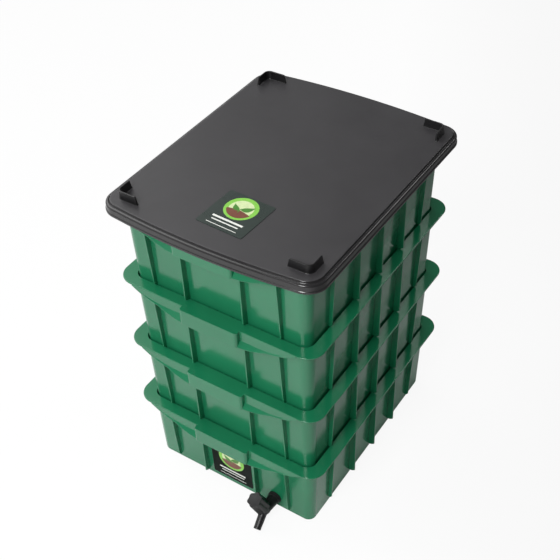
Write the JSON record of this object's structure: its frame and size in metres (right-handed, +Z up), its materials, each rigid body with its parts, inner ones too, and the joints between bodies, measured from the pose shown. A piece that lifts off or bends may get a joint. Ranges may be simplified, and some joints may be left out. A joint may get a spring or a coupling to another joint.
{
  "type": "wormery",
  "caption": "Stacking wormery: perforated trays with finned walls and end handles on a closed collector tray with a tap, under a lid with corner lugs.",
  "frame": {"origin": "centre of the collector tray's underside, on the floor", "axes": "+Z up, +Y along the long side away from the tap, +X to the right of someone who faces the tap"},
  "size_m": [0.354, 0.4628, 0.54],
  "materials": {
    "green_plastic": "gloss moulded polypropylene",
    "lid_plastic": "satin moulded polypropylene",
    "label_film": "smooth printed film",
    "tap_plastic": "satin",
    "seal_rubber": "matt"
  },
  "bodies": {
    "collector": {"collector_tray": "green_plastic", "collector_label": "label_film", "tap_body": "tap_plastic", "tap_outer_washer": "seal_rubber", "tap_inner_washer": "seal_rubber", "tap_back_nut": "tap_plastic"},
    "tap_handle": {"tap_knob": "tap_plastic", "tap_valve_plug": "tap_plastic", "tap_plug_seal": "seal_rubber"},
    "lower": {"tray_lower": "green_plastic"},
    "middle": {"tray_middle": "green_plastic"},
    "upper": {"tray_upper": "green_plastic"},
    "cover": {"lid": "lid_plastic", "lid_label": "label_film"}
  },
  "joints": [
    {"name": "lower_lift", "type": "slide", "parent": "collector", "child": "lower", "axis": [0, 0, 1], "range_m": [0, 0.15]},
    {"name": "middle_lift", "type": "slide", "parent": "lower", "child": "middle", "axis": [0, 0, 1], "range_m": [0, 0.15]},
    {"name": "upper_lift", "type": "slide", "parent": "middle", "child": "upper", "axis": [0, 0, 1], "range_m": [0, 0.15]},
    {"name": "lid_lift", "type": "slide", "parent": "upper", "child": "cover", "axis": [0, 0, 1], "range_m": [0, 0.15]},
    {"name": "tap_turn", "type": "hinge", "parent": "collector", "child": "tap_handle", "pos_m": [0.081, -0.21255, 0.02192], "axis": [-0.1781, -0.3892, 0.9038], "range_deg": [0, 90]}
  ]
}
